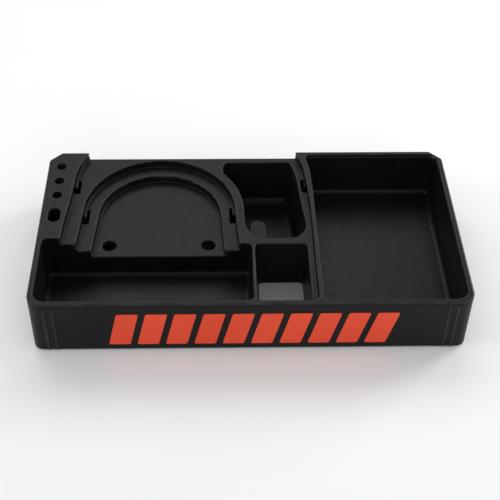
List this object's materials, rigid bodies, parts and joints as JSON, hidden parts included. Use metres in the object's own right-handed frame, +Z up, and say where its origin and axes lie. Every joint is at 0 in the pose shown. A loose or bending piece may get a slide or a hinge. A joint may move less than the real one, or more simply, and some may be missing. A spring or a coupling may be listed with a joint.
{
  "type": "ladder-top tool tray",
  "caption": "Moulded ladder-top tray with a stepped paint-can seat, hardware bin, hammer shaft, tool pocket, drill bin, screwdriver holes and spring slide bolts.",
  "frame": {"origin": "centre of the tray's underside", "axes": "+X to the user's right, +Y away from the user towards the back wall, +Z up"},
  "size_m": [0.404, 0.198, 0.06],
  "materials": {
    "tray_plastic": "satin moulded",
    "badge_plastic": "satin",
    "magnet": "ground ceramic",
    "plate_steel": "zinc plated",
    "bolt_steel": "zinc plated",
    "rod_steel": "drawn",
    "spring_steel": "drawn wire",
    "screw_steel": "zinc plated",
    "pull_plastic": "satin moulded",
    "foot_rubber": "matt"
  },
  "bodies": {
    "tray": {"tray_body": "tray_plastic", "front_badge": "badge_plastic", "bin_magnets": "magnet", "magnet_cover": "plate_steel", "magnet_cover_screws": "screw_steel", "left_keeper": "plate_steel", "right_keeper": "plate_steel", "left_keeper_screws": "screw_steel", "right_keeper_screws": "screw_steel", "rubber_feet": "foot_rubber", "left_spring": "spring_steel", "right_spring": "spring_steel"},
    "left_slide_bolt": {"left_bolt": "bolt_steel", "left_spring_rod": "rod_steel", "left_finger_pull": "pull_plastic"},
    "right_slide_bolt": {"right_bolt": "bolt_steel", "right_spring_rod": "rod_steel", "right_finger_pull": "pull_plastic"}
  },
  "joints": [
    {"name": "left_bolt_slide", "type": "slide", "parent": "tray", "child": "left_slide_bolt", "axis": [1, 0, 0], "range_m": [0, 0.014], "deforming": ["left_spring"]},
    {"name": "right_bolt_slide", "type": "slide", "parent": "tray", "child": "right_slide_bolt", "axis": [-1, 0, 0], "range_m": [0, 0.014], "deforming": ["right_spring"]}
  ]
}
